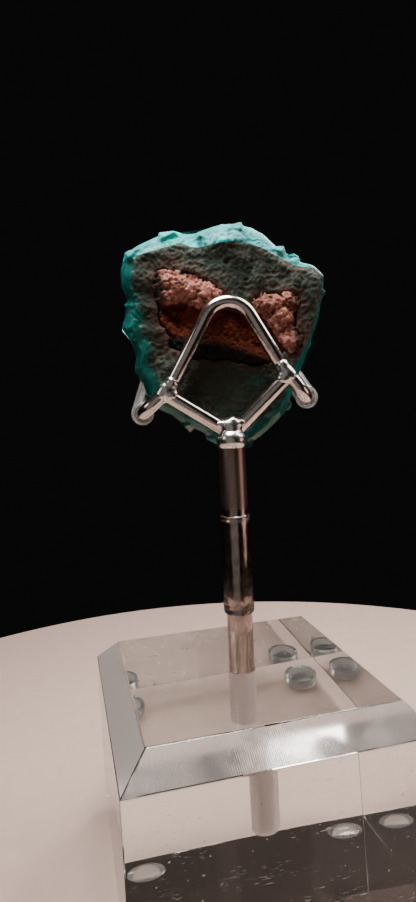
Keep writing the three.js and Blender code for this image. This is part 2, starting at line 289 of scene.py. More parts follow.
class Finish:
    def __init__(self, name):
        self.material = bpy.data.materials.new(name)
        self.material.use_nodes = True
        self.tree = self.material.node_tree
        self.tree.nodes.clear()
        self.out = self.tree.nodes.new("ShaderNodeOutputMaterial")

    def node(self, kind, settings=None, inputs=None, output=0):
        node = self.tree.nodes.new(kind)
        for key, value in (settings or {}).items():
            if key == "stops":
                self.set_stops(node.color_ramp, value)
            else:
                setattr(node, key, value)
        for key, value in (inputs or {}).items():
            if isinstance(value, Value):
                self.tree.links.new(value.socket, node.inputs[key])
            else:
                node.inputs[key].default_value = value
        return Value(self, node.outputs[output])

    @staticmethod
    def set_stops(ramp, stops):
        while len(ramp.elements) < len(stops):
            ramp.elements.new(1.0)
        for element, (place, tone) in zip(ramp.elements, stops):
            element.position = place
            element.color = colour(*tone)

    def place(self, scale=(1, 1, 1), turn=(0, 0, 0), shift=(0, 0, 0)):
        """Object coordinates in millimetres, stretched, turned and shifted."""
        at = self.node("ShaderNodeTexCoord", output="Object")
        sizes = tuple(value / MM for value in scale)
        turns = tuple(math.radians(value) for value in turn)
        inputs = {"Vector": at, "Scale": sizes, "Rotation": turns, "Location": shift}
        return self.node("ShaderNodeMapping", None, inputs)

    def noise(self, at, scale, detail=4.0, roughness=0.55, distortion=0.0):
        inputs = {"Vector": at, "Scale": scale, "Detail": detail, "Roughness": roughness,
                  "Distortion": distortion}
        return self.node("ShaderNodeTexNoise", None, inputs)

    def cells(self, at, scale, feature="F1"):
        inputs = {"Vector": at, "Scale": scale}
        return self.node("ShaderNodeTexVoronoi", {"feature": feature}, inputs)

    def painted(self, name):
        """A value that was painted on the piece's points."""
        return self.node("ShaderNodeAttribute", {"attribute_name": name}, None, "Fac")

    def mix(self, factor, first, second):
        """Goes by socket numbers, because the node's number, vector and colour sockets share names."""
        inputs = {0: factor, 6: first, 7: second}
        return self.node("ShaderNodeMix", {"data_type": "RGBA"}, inputs, 2)

    def ramp(self, value, stops):
        return self.node("ShaderNodeValToRGB", {"stops": stops}, {"Fac": value})

    def bump(self, height, strength, distance):
        inputs = {"Height": height, "Strength": strength, "Distance": distance * MM}
        return self.node("ShaderNodeBump", None, inputs)

    def surface(self, **inputs):
        names = {key.replace("_", " ").title().replace("Ior", "IOR"): inputs[key] for key in inputs}
        return self.node("ShaderNodeBsdfPrincipled", None, names)

    def glass(self, tint, roughness, ior, normal):
        return self.surface(base_color=tint, roughness=roughness, ior=ior, transmission_weight=1.0,
                            normal=normal)

    def metal(self, tone, roughness, normal):
        return self.surface(base_color=tone, metallic=1.0, roughness=roughness, normal=normal)

    def blended(self, factor, first, second):
        return self.node("ShaderNodeMixShader", None, {0: factor, 1: first, 2: second})

    def done(self, surface, volume=None):
        self.tree.links.new(surface.socket, self.out.inputs["Surface"])
        if volume:
            self.tree.links.new(volume.socket, self.out.inputs["Volume"])
        return self.material


# %% [markdown]
# The stage is a plain pale table top, dark behind, so that the clear edges of the crystals and
# the mirror finish of the wires can be seen. A big soft light above gives the bright upper edges.
# A weak one near the camera opens the shadows, and one behind shines through the thin edges.

# %% Stage
TABLE_RADIUS = 98 * MM
TABLE_THICKNESS = 6 * MM
ROOM_GLOW = colour(0.0035, 0.0035, 0.004)


def table_finish():
    finish = Finish("pale_table")
    speckle = finish.noise(finish.place(), 0.35, 5.0)
    tone = finish.mix(speckle, colour(0.52, 0.37, 0.31), colour(0.6, 0.44, 0.37))
    return finish.done(finish.surface(base_color=tone, roughness=0.7))


table = cylinder("table_top", TABLE_RADIUS, TABLE_THICKNESS, (0, 0, -TABLE_THICKNESS / 2), 128)
bevel_edges(table, 1 * MM, 4)
smooth(table)
table.data.materials.append(table_finish())
table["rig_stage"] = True

world = bpy.data.worlds.new("dim_room")
world.use_nodes = True
world.node_tree.nodes["Background"].inputs["Color"].default_value = ROOM_GLOW
bpy.context.scene.world = world

# %% Lights
# Each light's place and width in millimetres, its power in watts and its colour
LIGHTS = {
    "top_light": ((-10, -5, 142), 56, 0.27, (1.0, 0.98, 0.96)),
    "camera_light": ((-90, -170, 60), 240, 0.026, (1.0, 0.9, 0.84)),
    "left_light": ((-130, -30, 115), 50, 0.018, (1.0, 0.93, 0.88)),
    "right_light": ((150, -80, 60), 90, 0.025, (1.0, 0.66, 0.56)),
    "back_light": ((80, 100, 155), 60, 0.2, (1.0, 0.97, 0.93)),
    "table_light": ((110, -5, 180), 130, 0.34, (1.0, 0.95, 0.9)),
}
SPECIMEN_MIDDLE = Vector((0, 2, 62)) * MM
for name, (place, width, power, tone) in LIGHTS.items():
    place = Vector(place) * MM
    turn = (SPECIMEN_MIDDLE - place).to_track_quat("-Z", "Y").to_euler()
    bpy.ops.object.light_add(type="AREA", location=place, rotation=turn)
    lamp = bpy.context.object
    lamp.name = name
    lamp.data.shape = "DISK"
    lamp.data.size = width * MM
    lamp.data.energy = power
    lamp.data.color = tone
print("lights", sorted(LIGHTS))

# %% [markdown]
# The block is cast acrylic. Its faces are polished, its upper edges are bevelled and only
# brushed or sanded, and the hole for the rod is drilled, so its wall is frosted. A cube is scaled
# to the block's size and its four upper edges are bevelled, then a drill cuts the hole by a
# boolean. Each kind of surface gets its own finish, on faces picked by normal, size and place.

# %% Finishes of the block
ACRYLIC_IOR = 1.49
# The front bevel is rubbed most near its middle; place and reach in millimetres
RUBBED_PLACE = (-1.8, -14.8, 22.5)
RUBBED_REACH = 5.5
# This shift puts the middle of the arcs that brushing left far to the left
ARCS_SHIFT = (40, 14, -18)


def polished_acrylic():
    finish = Finish("polished_acrylic")
    at = finish.place()
    scratches = finish.noise(finish.place((0.4, 3, 1), (0, 0, -14)), 1.7, 4.0, 0.6).between(0.62, 0.7)
    handled = finish.noise(at, 0.17, 3.0).between(0.5, 0.62)
    specks = finish.cells(at, 0.45).between(0.065, 0.03)
    dents = finish.noise(at, 0.12, 2.0)
    normal = finish.bump(dents, 0.08, 0.2)
    clear = finish.glass(colour(0.97, 0.985, 0.98), 0.012, ACRYLIC_IOR, normal)
    scuffed = finish.surface(base_color=colour(0.85, 0.83, 0.81), roughness=0.4, normal=normal)
    marks = (0.45 * scratches * handled + 0.5 * specks).limited()
    return finish.done(finish.blended(marks, clear, scuffed))


def brushed_acrylic():
    finish = Finish("brushed_acrylic")
    at = finish.place()
    arcs = finish.node("ShaderNodeTexWave", {"wave_type": "RINGS", "rings_direction": "SPHERICAL"},
                       {"Vector": finish.place(shift=ARCS_SHIFT), "Scale": 1.5, "Distortion": 4.5,
                        "Detail": 4.0, "Detail Scale": 0.6, "Detail Roughness": 0.7}, "Fac")
    patches = finish.noise(at, 0.14, 4.0).between(0.36, 0.66)
    wear = finish.noise(at, 1.1, 5.0, 0.65)
    near_middle = tuple(-value / RUBBED_REACH for value in RUBBED_PLACE)
    rubbed = finish.node("ShaderNodeTexGradient", {"gradient_type": "SPHERICAL"},
                         {"Vector": finish.place([1 / RUBBED_REACH] * 3, shift=near_middle)}, "Fac")
    strokes = arcs * wear
    normal = finish.bump(strokes * (0.3 * patches + rubbed), 0.2, 0.05)
    rough = 0.16 + 0.1 * patches + 0.2 * rubbed * strokes
    clear = finish.glass(colour(0.97, 0.98, 0.98), rough, ACRYLIC_IOR, normal)
    scuffed = finish.surface(base_color=colour(0.8, 0.7, 0.65), roughness=0.5, normal=normal)
    whiteness = 0.16 + 0.12 * patches + (0.06 * patches + 0.8 * rubbed) * strokes.between(0.2, 0.6)
    return finish.done(finish.blended(whiteness, clear, scuffed))


def matt_acrylic(name, roughness, whiteness):
    finish = Finish(name)
    grain = finish.noise(finish.place((1, 1, 0.25)), 6.0, 4.0)
    normal = finish.bump(grain, 0.03, 0.03)
    clear = finish.glass(colour(0.95, 0.96, 0.96), roughness, ACRYLIC_IOR, normal)
    white = finish.surface(base_color=colour(0.78, 0.69, 0.65), roughness=0.6, normal=normal)
    return finish.done(finish.blended(whiteness * (0.8 + 0.4 * grain), clear, white))


# %% Acrylic block
block_low, block_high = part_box("acrylic_base")
BLOCK_SIZE = block_high - block_low
BLOCK_CHAMFER = 2.75 * MM
BORE_RADIUS = 1.6 * MM
BORE_DEPTH = 15 * MM
POLISHED_EDGE = 0.12 * MM
DRILL_TIP_INSET = 0.3 * MM
DRILL_TIP_DEPTH = 0.35 * MM
# Areas that tell the block's narrow faces, its bevels and its large sides apart
NARROW_AREA = (2 * MM) ** 2
BEVEL_AREA = (5 * MM) ** 2
SIDE_AREA = (10 * MM) ** 2

deselect_all()
bpy.ops.mesh.primitive_cube_add(size=1, location=(block_low + block_high) / 2, scale=BLOCK_SIZE)
block = named("acrylic_block")
bake_place(block)
edit_faces(block, lambda face: face.normal.z > 0.5)
bpy.ops.mesh.bevel(offset=BLOCK_CHAMFER, segments=1, affect="EDGES")
bevel_edges(block, POLISHED_EDGE, 2)

drill = cylinder("drill", BORE_RADIUS, 2 * BORE_DEPTH, (0, ROD_Y, block_high.z))
edit_faces(drill, lambda face: face.normal.z < -0.5)
bpy.ops.mesh.inset(thickness=DRILL_TIP_INSET)
bpy.ops.transform.translate(value=(0, 0, -DRILL_TIP_DEPTH))
modify(block, "BOOLEAN", object=drill, operation="DIFFERENCE", solver="EXACT")
bpy.data.objects.remove(drill)
smooth(block, 25)
for face in block.data.polygons:
    # Large flats keep their true normals, or they would bend light like a pillow
    face.use_smooth = face.area < NARROW_AREA


def from_rod(point):
    return math.hypot(point.x, point.y - ROD_Y)


for material in (polished_acrylic(), brushed_acrylic(), matt_acrylic("sanded_acrylic", 0.34, 0.28),
                 matt_acrylic("drilled_acrylic", 0.5, 0.62)):
    block.data.materials.append(material)
# Every face starts with the first finish, the polished one
BRUSHED, SANDED, DRILLED = 1, 2, 3
for face in block.data.polygons:
    if from_rod(face.center) < BORE_RADIUS * 1.05 and face.area < SIDE_AREA:
        face.material_index = DRILLED
    elif 0.5 < face.normal.z < 0.9 and face.area > BEVEL_AREA:
        face.material_index = SANDED if face.normal.x < -0.5 else BRUSHED
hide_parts("acrylic_base")
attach(block, "root")
print("block size in mm", [round(side / MM, 2) for side in BLOCK_SIZE], "triangles", triangles(block))

# %% [markdown]
# The feet are soft clear domes that stick on. A cylinder gets its lower edge bevelled so far and
# so finely that it turns into a dome. One foot is modelled and the other three are copies.

# %% Feet
foot_low, foot_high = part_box("foot_front_left")
FOOT_RADIUS = (foot_high.x - foot_low.x) / 2
FOOT_HEIGHT = foot_high.z - foot_low.z
FOOT_FLAT = 1.2 * MM
RUBBER_IOR = 1.5


def soft_clear(name, roughness, milk):
    finish = Finish(name)
    cloud = finish.noise(finish.place(), 1.1, 3.0)
    normal = finish.bump(cloud, 0.15, 0.08)
    clear = finish.glass(colour(0.96, 0.97, 0.97), roughness + 0.1 * cloud, RUBBER_IOR, normal)
    milky = finish.surface(base_color=colour(0.88, 0.88, 0.86), roughness=0.2, normal=normal)
    return finish.done(finish.blended(milk * (0.5 + cloud), clear, milky))


# The glue that holds a foot has no air in it, so the foot reaches a hair into the block
GLUE = 0.08 * MM
first_foot = cylinder("clear_foot", FOOT_RADIUS, FOOT_HEIGHT + GLUE, (0, 0, GLUE / 2), 64)
edit_faces(first_foot, lambda face: face.normal.z < -0.5)
bpy.ops.mesh.bevel(offset=FOOT_RADIUS - FOOT_FLAT, segments=8, affect="EDGES")
bevel_edges(first_foot, 0.1 * MM, 2, 50)
smooth(first_foot, 35)
first_foot.data.materials.append(soft_clear("clear_rubber", 0.03, 0.15))
for place in ("front_left", "front_right", "back_left", "back_right"):
    low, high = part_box(f"foot_{place}")
    foot = first_foot.copy()
    foot.data = first_foot.data.copy()
    foot.name = f"clear_foot_{place}"
    bpy.context.collection.objects.link(foot)
    foot.location = (low + high) / 2
    bake_place(foot)
    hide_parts(f"foot_{place}")
    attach(foot, "root")
bpy.data.objects.remove(first_foot)
print("foot radius in mm", round(FOOT_RADIUS / MM, 2))

# %% [markdown]
# The rod is drawn steel, ground and polished: nearly a mirror, with hair lines along its length,
# and hazy at the top, where the heat of soldering reached it. A cylinder with many sides is
# enough, with its edges bevelled. The clear film clings to it, so it reaches a hair into
# the steel and no air shows between them. It is lofted from rings and then wrinkled.

# %% Finishes of the metal
film_low, film_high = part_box("rod_clear_film")
# The haze of the heat begins and is full at these heights in millimetres
HAZE_START = film_high.z / MM - 0.5
HAZE_FULL = film_high.z / MM + 1.5
STEEL_TONES = [(0.38, (0.28, 0.23, 0.21)), (0.62, (0.58, 0.5, 0.46))]


def polished_steel():
    finish = Finish("polished_steel")
    lines = finish.noise(finish.place((9, 9, 0.12)), 1.6, 5.0, 0.7)
    spots = finish.noise(finish.place(), 0.9, 4.0)
    bands = finish.noise(finish.place((1.6, 1.6, 0.04)), 1.0, 3.0)
    tone = finish.ramp(0.5 * spots + 0.5 * bands, STEEL_TONES)
    height = finish.node("ShaderNodeSeparateXYZ", None, {"Vector": finish.place()}, "Z")
    heated = height.between(HAZE_START, HAZE_FULL)
    hazy = finish.mix(heated, tone, colour(0.3, 0.22, 0.19))
    normal = finish.bump(lines, 0.08, 0.02)
    return finish.done(finish.metal(hazy, 0.07 + 0.12 * lines + 0.2 * heated, normal))


def bent_wire_finish():
    finish = Finish("tinned_wire")
    waves = finish.noise(finish.place(), 0.8, 2.0)
    stains = finish.noise(finish.place(), 2.6, 5.0, 0.65).between(0.5, 0.75)
    tone = finish.mix(stains, colour(0.68, 0.61, 0.57), colour(0.36, 0.3, 0.27))
    normal = finish.bump(waves, 0.2, 0.12)
    return finish.done(finish.metal(tone, 0.14 + 0.1 * stains + 0.06 * waves, normal))


def solder_finish():
    finish = Finish("bright_solder")
    lumps = finish.noise(finish.place(), 1.5, 3.0)
    frost = finish.noise(finish.place(), 5.5, 4.0, 0.6).between(0.45, 0.7)
    tone = finish.mix(frost, colour(0.74, 0.73, 0.7), colour(0.52, 0.5, 0.48))
    normal = finish.bump(lumps + 0.08 * frost, 0.15, 0.05)
    return finish.done(finish.metal(tone, 0.22 + 0.1 * frost, normal))


steel, wire_metal, solder_metal = polished_steel(), bent_wire_finish(), solder_finish()

# %% Rod
ROD_RADIUS = (rod_high.x - rod_low.x) / 2
ROD_LENGTH = rod_high.z - rod_low.z
rod = cylinder("steel_rod", ROD_RADIUS, ROD_LENGTH, (rod_low + rod_high) / 2)
bevel_edges(rod, 0.25 * MM, 3)
smooth(rod, 30)
rod.data.materials.append(steel)
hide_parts("rod")
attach(rod, "root")
print("rod radius and length in mm", round(ROD_RADIUS / MM, 2), round(ROD_LENGTH / MM, 2))

# %% Film on the rod
FILM_OUTER = (film_high.x - film_low.x) / 2
FILM_BODY = FILM_OUTER - 0.14 * MM
FILM_FOLD = FILM_OUTER - 0.03 * MM
FILM_INNER = ROD_RADIUS - 0.02 * MM
FILM_LENGTH = film_high.z - film_low.z
FILM_IOR = 1.45
# Each ring of the film: its share of the height and its radius
FILM_RINGS = ((0.01, FILM_BODY), (0.04, FILM_FOLD), (0.1, FILM_FOLD), (0.16, FILM_BODY), (0.3, FILM_BODY),
              (0.5, FILM_BODY - 0.05 * MM), (0.72, FILM_BODY), (0.94, FILM_BODY), (0.97, FILM_FOLD),
              (0.99, FILM_BODY), (1.0, FILM_INNER), (0.5, FILM_INNER), (0.0, FILM_INNER))
# Between these shares of its height the film clings, and wrinkles less than at its ends
CLING_FROM, CLING_TO = 0.2, 0.92
CLING_WRINKLES = 0.4


def film_finish():
    finish = Finish("wrinkled_film")
    wrinkles = finish.noise(finish.place((1, 1, 0.5)), 1.3, 6.0, 0.7, 0.6)
    torn = finish.cells(finish.place((1, 1, 0.7)), 1.4, "DISTANCE_TO_EDGE").between(0.0, 0.12)
    normal = finish.bump(wrinkles + 0.4 * torn, 0.25, 0.1)
    return finish.done(finish.glass(colour(0.93, 0.92, 0.9), 0.02 + 0.08 * wrinkles, FILM_IOR, normal))


deselect_all()
bpy.ops.mesh.primitive_circle_add(vertices=72, radius=FILM_INNER, location=(0, ROD_Y, film_low.z))
film = named("clear_film")
bake_place(film)
edit(film, "VERT")
height, radius = 0.0, FILM_INNER
for share, ring in FILM_RINGS:
    rise = share * FILM_LENGTH - height
    bpy.ops.mesh.extrude_region_move(TRANSFORM_OT_translate={"value": (0, 0, rise)})
    bpy.ops.transform.resize(value=(ring / radius, ring / radius, 1), center_override=(0, ROD_Y, 0))
    height, radius = height + rise, ring
edit(film, "VERT")
bpy.ops.mesh.remove_doubles(threshold=0.01 * MM)
bpy.ops.mesh.select_mode(type="EDGE")
bpy.ops.mesh.normals_make_consistent(inside=False)
modify(film, "SUBSURF", levels=2, render_levels=2, subdivision_type="SIMPLE")
outside = film.vertex_groups.new(name="outside")
for point in film.data.vertices:
    share = (point.co.z - film_low.z) / FILM_LENGTH
    if from_rod(point.co) > FILM_BODY - 0.1 * MM:
        outside.add([point.index], CLING_WRINKLES if CLING_FROM < share < CLING_TO else 1.0, "REPLACE")
push(film, relief_texture("creases", "CLOUDS", 1.1, noise_depth=3), 0.16, "outside", 0.75)
smooth(film, 60)
film.data.materials.append(film_finish())
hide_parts("rod_clear_film")
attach(film, "root")
print("film triangles", triangles(film))

# %% [markdown]
# A wire bender pushes straight wire out and turns it round a die. This helper works in the same
# way: a ring of edges is extruded along each straight run and spun round each bend. Spin turns
# against the right-hand rule, so its axis is given the other way round.

# %% Wire bender
WIRE_RADIUS = 0.8
TUBE_SIDES = 40
BEND_STEPS = 14


def bent_tube(name, corners, bends, radius):
    places = [Vector(corner) * MM for corner in corners]
    heading = (places[1] - places[0]).normalized()
    deselect_all()
    bpy.ops.mesh.primitive_circle_add(vertices=TUBE_SIDES, radius=radius * MM, location=places[0],
                                      rotation=heading.to_track_quat("Z", "Y").to_euler())
    tube = named(name)
    bake_place(tube)
    edit(tube, "VERT")
    here = places[0]
    for bend, corner, after in zip(bends, places[1:], places[2:]):
        onward = (after - corner).normalized()
        turn = heading.angle(onward)
        start = corner - heading * bend * MM
        inward = (onward - heading * heading.dot(onward)).normalized()
        die = start + inward * bend * MM / math.tan(turn / 2)
        bpy.ops.mesh.extrude_region_move(TRANSFORM_OT_translate={"value": start - here})
        bpy.ops.mesh.spin(steps=BEND_STEPS, angle=turn, center=die, axis=-heading.cross(onward))
        here = corner + onward * bend * MM
        heading = onward
    bpy.ops.mesh.extrude_region_move(TRANSFORM_OT_translate={"value": places[-1] - here})
    edit(tube, "VERT")
    bpy.ops.mesh.remove_doubles(threshold=0.002 * MM)
    return tube


def wire(name, node, corners, bends):
    piece = bent_tube(name, corners, bends, WIRE_RADIUS)
    bpy.ops.mesh.fill_holes(sides=0)
    bpy.ops.mesh.normals_make_consistent(inside=False)
    bevel_edges(piece, 0.2 * MM, 4, 60)
    smooth(piece, 45)
    piece.data.materials.append(wire_metal)
    hang(piece)
    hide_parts(node)
    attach(piece, "root")
    print(name, "triangles", triangles(piece))


# %% [markdown]
# The arch is one wire with a round top. Each arm is another wire: it climbs from the rod to its
# shoulder, turns down, runs back under the stone and comes up in front of it as a prong.

# %% Arch and arms
HOOK_DEPTH = 6.6
ARCH_TOP = Vector((0.26, 0, 70))
ARCH_HALF_ANGLE = math.radians(29.7)
ARCH_RADIUS = 2.85
ARCH_BEND = ARCH_RADIUS / math.tan(ARCH_HALF_ANGLE)
ARCH_LEFT_LEG, ARCH_RIGHT_LEG = 13.2, 11.4


def arch_foot(side, length):
    down_leg = Vector((side * math.sin(ARCH_HALF_ANGLE), 0, -math.cos(ARCH_HALF_ANGLE)))
    return ARCH_TOP + down_leg * length


# How far before its corners each arm starts to bend
ARM_BENDS = (0.9, 1.5, 1.5)
ARMS = {
    "left": ((-0.8, 0, 52.87), (-7.35, 0, 57.2), (-9.9, 0, 55), (-10.3, HOOK_DEPTH, 55),
             (-8.3, HOOK_DEPTH, 60.6)),
    "right": ((0.8, 0, 52.86), (6.95, 0, 58.7), (8.9, 0, 56), (10.5, HOOK_DEPTH, 56),
              (7.6, HOOK_DEPTH, 60.4)),
}
wire("arch", "arch_wire", (arch_foot(-1, ARCH_LEFT_LEG), ARCH_TOP, arch_foot(1, ARCH_RIGHT_LEG)),
     (ARCH_BEND,))
for side, corners in ARMS.items():
    wire(f"{side}_arm", f"{side}_arm_wire", corners, ARM_BENDS)

# %% [markdown]
# Clear soft tubes are pushed over both hooks, up to where the wire bends towards the stone, so
# that no metal touches the crystals. The same bender makes the outer skin, and Solidify gives it
# a wall inwards, open at both ends. The cut end is the pale ring round the wire.

# %% Sleeves on the prongs
SLEEVE_RADIUS = 1.3
SLEEVE_WALL = 0.36
SLEEVE_START = 1.05
SLEEVE_OVERHANG = 0.4
sleeve_rubber = soft_clear("clear_sleeve_rubber", 0.02, 0.22)

for side, corners in ARMS.items():
    near, far, tip = (Vector(corner) for corner in corners[2:])
    start = near + (far - near).normalized() * SLEEVE_START
    end = tip + (tip - far).normalized() * SLEEVE_OVERHANG
    sleeve = bent_tube(f"{side}_sleeve", (start, far, end), ARM_BENDS[2:], SLEEVE_RADIUS)
    bpy.ops.mesh.normals_make_consistent(inside=False)
    modify(sleeve, "SOLIDIFY", thickness=SLEEVE_WALL * MM, offset=-1, use_rim=True)
    bevel_edges(sleeve, 0.06 * MM, 2, 60)
    smooth(sleeve, 45)
    sleeve.data.materials.append(sleeve_rubber)
    hang(sleeve)
    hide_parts(f"{side}_prong_sleeve")
    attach(sleeve, "root")
    print(sleeve.name, "triangles", triangles(sleeve))

# %% [markdown]
# Melted solder pulls itself into drops and creeps along the wires. Several balls are joined and
# remeshed into one skin, and smoothing that skin gives the hollow fillets between them.

# %% Solder joints
# Each lump's balls: middle and radii, in millimetres in the holder's own frame
SOLDER_LUMPS = {
    "rod_solder": (
        ((0, -0.3, 51.55), (1.72, 1.62, 1.3)), ((0, -0.2, 53.1), (1.35, 1.15, 1.0)),
        ((-1.2, 0, 53.4), (0.95, 0.95, 0.5)), ((1.15, 0, 53.5), (0.85, 0.95, 0.5)),
        ((0.2, -0.5, 53.7), (0.6, 0.7, 0.6))),
    "left_solder": (
        ((-7.2, 0, 57.55), (0.95, 1.02, 0.95)), ((-6.6, 0, 56.9), (1.0, 0.97, 0.75)),
        ((-6.5, 0, 58.2), (0.8, 0.97, 1.0)), ((-7.75, 0, 57.0), (0.75, 0.93, 0.75))),
    "right_solder": (
        ((6.6, 0, 58.9), (0.95, 1.02, 0.95)), ((6.15, 0, 59.7), (0.8, 0.97, 0.9)),
        ((7.15, 0, 58.5), (0.75, 0.95, 0.75)), ((6.2, 0, 58.2), (0.9, 0.97, 0.75))),
}
ripples = relief_texture("ripples", "CLOUDS", 1.6, noise_depth=0)
for node, balls in SOLDER_LUMPS.items():
    drops = []
    for middle, radii in balls:
        deselect_all()
        bpy.ops.mesh.primitive_ico_sphere_add(
            subdivisions=4, radius=MM, location=Vector(middle) * MM, scale=radii)
        drops.append(bpy.context.object)
    join(drops)
    lump = named(f"{node}_lump")
    bake_place(lump)
    modify(lump, "REMESH", mode="VOXEL", voxel_size=0.075 * MM)
    modify(lump, "SMOOTH", factor=0.9, iterations=60)
    push(lump, ripples, 0.08, middle=-0.4)
    smooth(lump, 180)
    lump.data.materials.append(solder_metal)
    hang(lump)
    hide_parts(node)
    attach(lump, "root")
    print(lump.name, "triangles", triangles(lump))

# %% [markdown]
# The stone has two faces. Its back broke off the rock, so it is rough, dull and stained, and its
# thin edges let light through. Its front is a crust of crystals with flat, sharp faces. The two
# need different meshes, so a merged copy of the solid is cut in two behind the wires. Where a
# finish follows the stone's shape, a value is painted on the points of its mesh.

# %% Helpers for the stone
TO_HOLDER = HOLDER.inverted()
TURN_TO_HOLDER = TO_HOLDER.to_3x3()
STONE_MIDDLE = (0.3, 63.5)


def merged_copy(node, name):
    piece = nodes[node].copy()
    piece.data = nodes[node].data.copy()
    place = nodes[node].matrix_world.copy()
    piece.parent = None
    piece.matrix_world = place
    bpy.context.collection.objects.link(piece)
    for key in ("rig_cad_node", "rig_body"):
        piece.pop(key, None)
    bake_place(piece)
    named(name)
    piece.data.materials.clear()
    edit(piece, "VERT")
    bpy.ops.mesh.remove_doubles(threshold=0.002 * MM)
    deselect_all()
    return piece


def cut_across(piece, depth, keep_back):
    """Cuts a piece along the plane at a depth behind the wires, and closes the cut."""
    edit(piece, "VERT")
    bpy.ops.mesh.bisect(plane_co=HOLDER @ Vector((0, depth * MM, 0)),
                        plane_no=HOLDER.to_3x3() @ Vector((0, 1, 0)),
                        use_fill=True, clear_outer=keep_back, clear_inner=not keep_back)
    deselect_all()


def along(points, place):
    """The value at a place on a line through (place, value) points."""
    for (x0, value0), (x1, value1) in zip(points, points[1:]):
        if place <= x1:
            return value0 + (value1 - value0) * max(0.0, place - x0) / (x1 - x0)
    return points[-1][1]


def around_stone(x, z):
    """Angle in degrees and distance of a place from the middle of the stone."""
    dx, dz = x - STONE_MIDDLE[0], z - STONE_MIDDLE[1]
    return math.degrees(math.atan2(dz, dx)) % 360, math.hypot(dx, dz)


def values_of(piece, value_at):
    """What a function of place and normal, in the holder's frame, gives at each point."""
    return [value_at(TO_HOLDER @ point.co / MM, TURN_TO_HOLDER @ point.normal)
            for point in piece.data.vertices]


def paint(piece, name, values):
    piece.data.attributes.new(name, "FLOAT", "POINT").data.foreach_set("value", values)


def group_of(piece, name, value_at):
    group = piece.vertex_groups.new(name=name)
    for index, weight in enumerate(values_of(piece, value_at)):
        group.add([index], weight, "REPLACE")


def relief_before(piece):
    return [(point.co.copy(), point.normal.copy()) for point in piece.data.vertices]


def paint_relief(piece, before, depth):
    """Paints how far the textures moved the surface, 0.5 on average and 0.5 more at the depth."""
    values = []
    for point, (place, normal) in zip(piece.data.vertices, before):
        out = (point.co - place).dot(normal) / MM
        values.append(clamped(0.5 + out / (2 * depth)))
    middle = sum(values) / len(values)
    paint(piece, "relief", [value - middle + 0.5 for value in values])


# %% [markdown]
# The back plate is remeshed into small even faces, and three textures push it in and out: broad
# steps, sharp ridges where it split, and fine crumbs. Its lit upper slope and its clear teal
# edges are painted on as values, because they follow the outline and not a pattern.

# %% Back plate of the stone
PLATE_FRONT = 3.6
PLATE_VOXEL = 0.14
BAND_SOFTNESS = 0.35
SECTOR_ANGLE = 3
SECTORS = 360 // SECTOR_ANGLE
# Height of the sharp line between the back and the lit slope above it, from left to right
RIDGE = ((-13, 72.6), (-11, 72.7), (-9.3, 73.0), (-7.6, 73.4), (-4.7, 74.2), (-3, 73.6), (-0.1, 74.0),
         (2.2, 74.2), (5, 73.2), (7.8, 71.6), (9, 71.2), (13, 70.8))
# Width of the teal edge by the angle round the stone, counted from the right over the top
TEAL_WIDTHS = ((0, 0.6), (60, 0.5), (110, 0.5), (140, 1.6), (165, 2.1), (200, 1.9), (225, 2.6), (250, 2.8),
               (270, 2.5), (290, 1.9), (320, 1.3), (360, 0.6))
UNDERSIDE_TOP = 62
UNDERSIDE_TEAL = 1.3
# Each patch has a place and a reach. The aqua ones are the brightest lumps on the upper slope
TEAL_PATCH = (3.9, 58.3, 6.8)
TEAL_PATCH_SHARE = 0.54
AQUA_PATCHES = ((-5.9, 75.3, 2.2), (-3.4, 74.1, 1.4), (0.2, 74.3, 1.0), (-10.6, 72.4, 1.6))
# The back is smoother in this patch, which also gets painted shade, and within this distance of its edge
CALM_PATCH = (-0.2, 58.2, 4.6)
CALM_EDGE = 1.5
RUST_REACH = 2.6
# Depths of the three textures, and the depth at which the painted relief is full
STEP_DEPTH, RIDGE_DEPTH, CRUMB_DEPTH = 0.2, 0.09, 0.13
FULL_RELIEF = 0.16

plate = merged_copy("dioptase", "dioptase_plate")
cut_across(plate, PLATE_FRONT, keep_back=True)
modify(plate, "REMESH", mode="VOXEL", voxel_size=PLATE_VOXEL * MM)
modify(plate, "SMOOTH", factor=0.6, iterations=8)

reaches = [0.0] * SECTORS
for point in plate.data.vertices:
    here = TO_HOLDER @ point.co / MM
    angle, distance = around_stone(here.x, here.z)
    sector = int(angle / SECTOR_ANGLE) % SECTORS
    reaches[sector] = max(reaches[sector], distance)


def from_edge(point):
    """Distance of a place on the back from the stone's edge, and its angle round the stone."""
    angle, distance = around_stone(point.x, point.z)
    return reaches[int(angle / SECTOR_ANGLE) % SECTORS] - distance, angle


def nearness(point, x, z, reach):
    return 1 - math.hypot(point.x - x, point.z - z) / reach


def teal_share(point, normal):
    inside, angle = from_edge(point)
    edge = 1 - inside / (2 * along(TEAL_WIDTHS, angle))
    patch = nearness(point, *TEAL_PATCH)
    under = -UNDERSIDE_TEAL * normal.z if point.z < UNDERSIDE_TOP else 0.0
    return clamped(max(edge, TEAL_PATCH_SHARE * patch, under))


def band_share(point, normal):
    above = point.z - along(RIDGE, point.x)
    return clamped(0.5 + above / (2 * BAND_SOFTNESS))


def aqua_share(point, normal):
    return max(0.0, *(nearness(point, *patch) for patch in AQUA_PATCHES))


def calm_share(point, normal):
    return clamped(1.5 * nearness(point, *CALM_PATCH))


def rust_share(point, normal):
    distance = matrix_faces.find_nearest(HOLDER @ (point * MM))[3] / MM
    return max(0.0, 1 - distance / RUST_REACH)


def back_roughness(point, normal):
    inside, _ = from_edge(point)
    if normal.y > 0.5:
        return 0.0
    return min(1.0, max(0.3, inside / CALM_EDGE)) * (1 - 0.65 * calm_share(point, normal))


